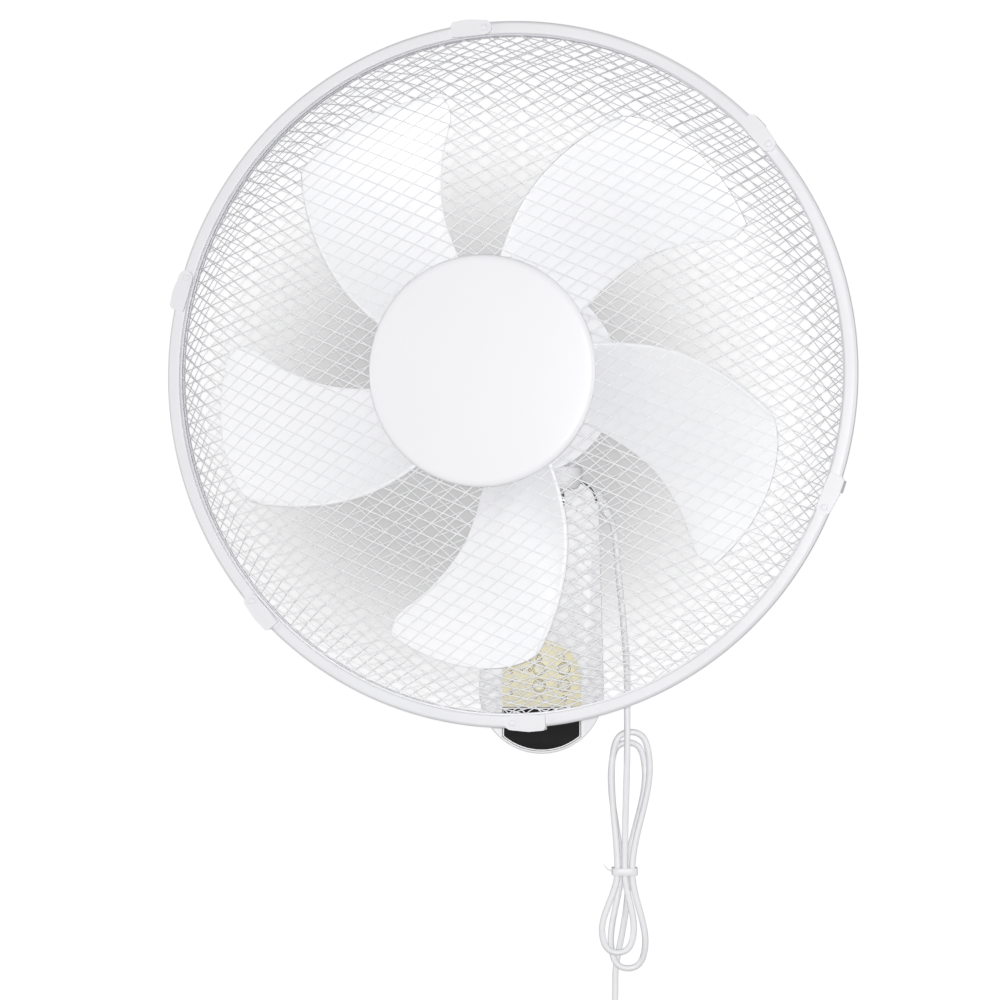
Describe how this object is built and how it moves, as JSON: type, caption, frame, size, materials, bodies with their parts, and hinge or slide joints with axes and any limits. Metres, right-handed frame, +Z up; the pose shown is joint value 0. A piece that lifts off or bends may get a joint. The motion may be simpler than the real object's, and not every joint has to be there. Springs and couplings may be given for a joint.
{
  "type": "wall mounted fan",
  "caption": "White wall mounted fan with wire guards, swept blades, a swinging and tilting head, a wall body with a key panel, and a bundled mains cord.",
  "frame": {"origin": "middle of the wall plate's back face", "axes": "+Y into the wall, +Z up, the fan blows towards -Y"},
  "size_m": [0.4299, 0.3023, 0.7905],
  "materials": {
    "white_plastic": "fine satin moulding",
    "blade_plastic": "semi-gloss",
    "guard_wire": "white powder coat",
    "beige_panel": "satin",
    "dark_window": "smooth gloss",
    "key_plastic": "satin",
    "zinc_steel": "zinc plated",
    "steel": "turned",
    "winding": "varnished winding on laminated core",
    "board": "solder mask",
    "black_plastic": "matte",
    "cord_sheath": "smooth sheath",
    "brass_pin": "bright"
  },
  "bodies": {
    "root": {"wall_plate": "zinc_steel", "base_rear_shell": "white_plastic", "base_front_shell": "white_plastic", "base_screw_left": "steel", "base_screw_right": "steel", "control_label": "beige_panel", "receiver_window": "dark_window", "switch_power": "black_plastic", "switch_speed": "black_plastic", "switch_timer": "black_plastic", "switch_swing": "black_plastic", "control_board": "board", "receiver_eye": "black_plastic", "run_capacitor": "black_plastic", "cord_grommet": "cord_sheath", "cord_run": "cord_sheath", "cord_hank": "cord_sheath", "cord_tail": "cord_sheath", "hank_tie": "cord_sheath", "plug_body": "cord_sheath", "plug_blade_left": "brass_pin", "plug_blade_right": "brass_pin", "tilt_pin": "steel", "tilt_nut": "steel"},
    "neck": {"neck_bracket": "white_plastic", "pan_pin": "steel"},
    "head": {"gear_case": "white_plastic", "motor_rear_cover": "white_plastic", "motor_front_plate": "zinc_steel", "motor_stator": "winding", "bearing_front": "steel", "bearing_rear": "steel", "guard_nut": "white_plastic", "rear_guard": "guard_wire", "rim_ring": "white_plastic", "front_guard": "guard_wire", "centre_cap": "white_plastic", "rivet_1": "guard_wire", "rivet_2": "guard_wire", "rivet_3": "guard_wire", "rivet_4": "guard_wire", "rivet_5": "guard_wire", "rivet_6": "guard_wire"},
    "rotor": {"motor_shaft": "steel", "motor_rotor": "winding", "impeller": "blade_plastic", "blade_nut": "blade_plastic"},
    "clip_1_body": {"clip_1": "white_plastic"},
    "clip_2_body": {"clip_2": "white_plastic"},
    "clip_3_body": {"clip_3": "white_plastic"},
    "clip_4_body": {"clip_4": "white_plastic"},
    "clip_5_body": {"clip_5": "white_plastic"},
    "clip_6_body": {"clip_6": "white_plastic"},
    "key_power_body": {"key_power": "key_plastic"},
    "key_speed_body": {"key_speed": "key_plastic"},
    "key_timer_body": {"key_timer": "key_plastic"},
    "key_swing_body": {"key_swing": "key_plastic"}
  },
  "joints": [
    {"name": "tilt", "type": "hinge", "parent": "root", "child": "neck", "pos_m": [0, -0.044, 0.078], "axis": [1, 0, 0], "range_deg": [-10, 25]},
    {"name": "pan", "type": "hinge", "parent": "neck", "child": "head", "pos_m": [0, -0.115, 0.1], "axis": [0, 0, 1], "range_deg": [-25, 51]},
    {"name": "blade_spin", "type": "hinge", "parent": "head", "child": "rotor", "pos_m": [-0.02429, -0.22023, 0.156], "axis": [0.225, 0.9744, 0], "continuous": true},
    {"name": "clip_1_swing", "type": "hinge", "parent": "head", "child": "clip_1_body", "pos_m": [-0.03764, -0.22434, 0.37206], "axis": [0.225, 0.9744, 0], "range_deg": [0, 75]},
    {"name": "clip_2_swing", "type": "hinge", "parent": "head", "child": "clip_2_body", "pos_m": [0.13565, -0.26434, 0.2951], "axis": [0.225, 0.9744, 0], "range_deg": [0, 75]},
    {"name": "clip_3_swing", "type": "hinge", "parent": "head", "child": "clip_3_body", "pos_m": [0.16907, -0.27206, 0.07354], "axis": [0.225, 0.9744, 0], "range_deg": [0, 75]},
    {"name": "clip_4_swing", "type": "hinge", "parent": "head", "child": "clip_4_body", "pos_m": [-0.02035, -0.22833, -0.06033], "axis": [0.225, 0.9744, 0], "range_deg": [0, 75]},
    {"name": "clip_5_swing", "type": "hinge", "parent": "head", "child": "clip_5_body", "pos_m": [-0.185, -0.19031, 0.01403], "axis": [0.225, 0.9744, 0], "range_deg": [0, 75]},
    {"name": "clip_6_swing", "type": "hinge", "parent": "head", "child": "clip_6_body", "pos_m": [-0.22751, -0.1805, 0.21927], "axis": [0.225, 0.9744, 0], "range_deg": [0, 75]},
    {"name": "key_power_press", "type": "slide", "parent": "root", "child": "key_power_body", "axis": [0, 1, 0], "range_m": [0, 0.0006], "stiffness_N_per_m": 2000},
    {"name": "key_speed_press", "type": "slide", "parent": "root", "child": "key_speed_body", "axis": [0, 1, 0], "range_m": [0, 0.0006], "stiffness_N_per_m": 2000},
    {"name": "key_timer_press", "type": "slide", "parent": "root", "child": "key_timer_body", "axis": [0, 1, 0], "range_m": [0, 0.0006], "stiffness_N_per_m": 2000},
    {"name": "key_swing_press", "type": "slide", "parent": "root", "child": "key_swing_body", "axis": [0, 1, 0], "range_m": [0, 0.0006], "stiffness_N_per_m": 2000}
  ]
}
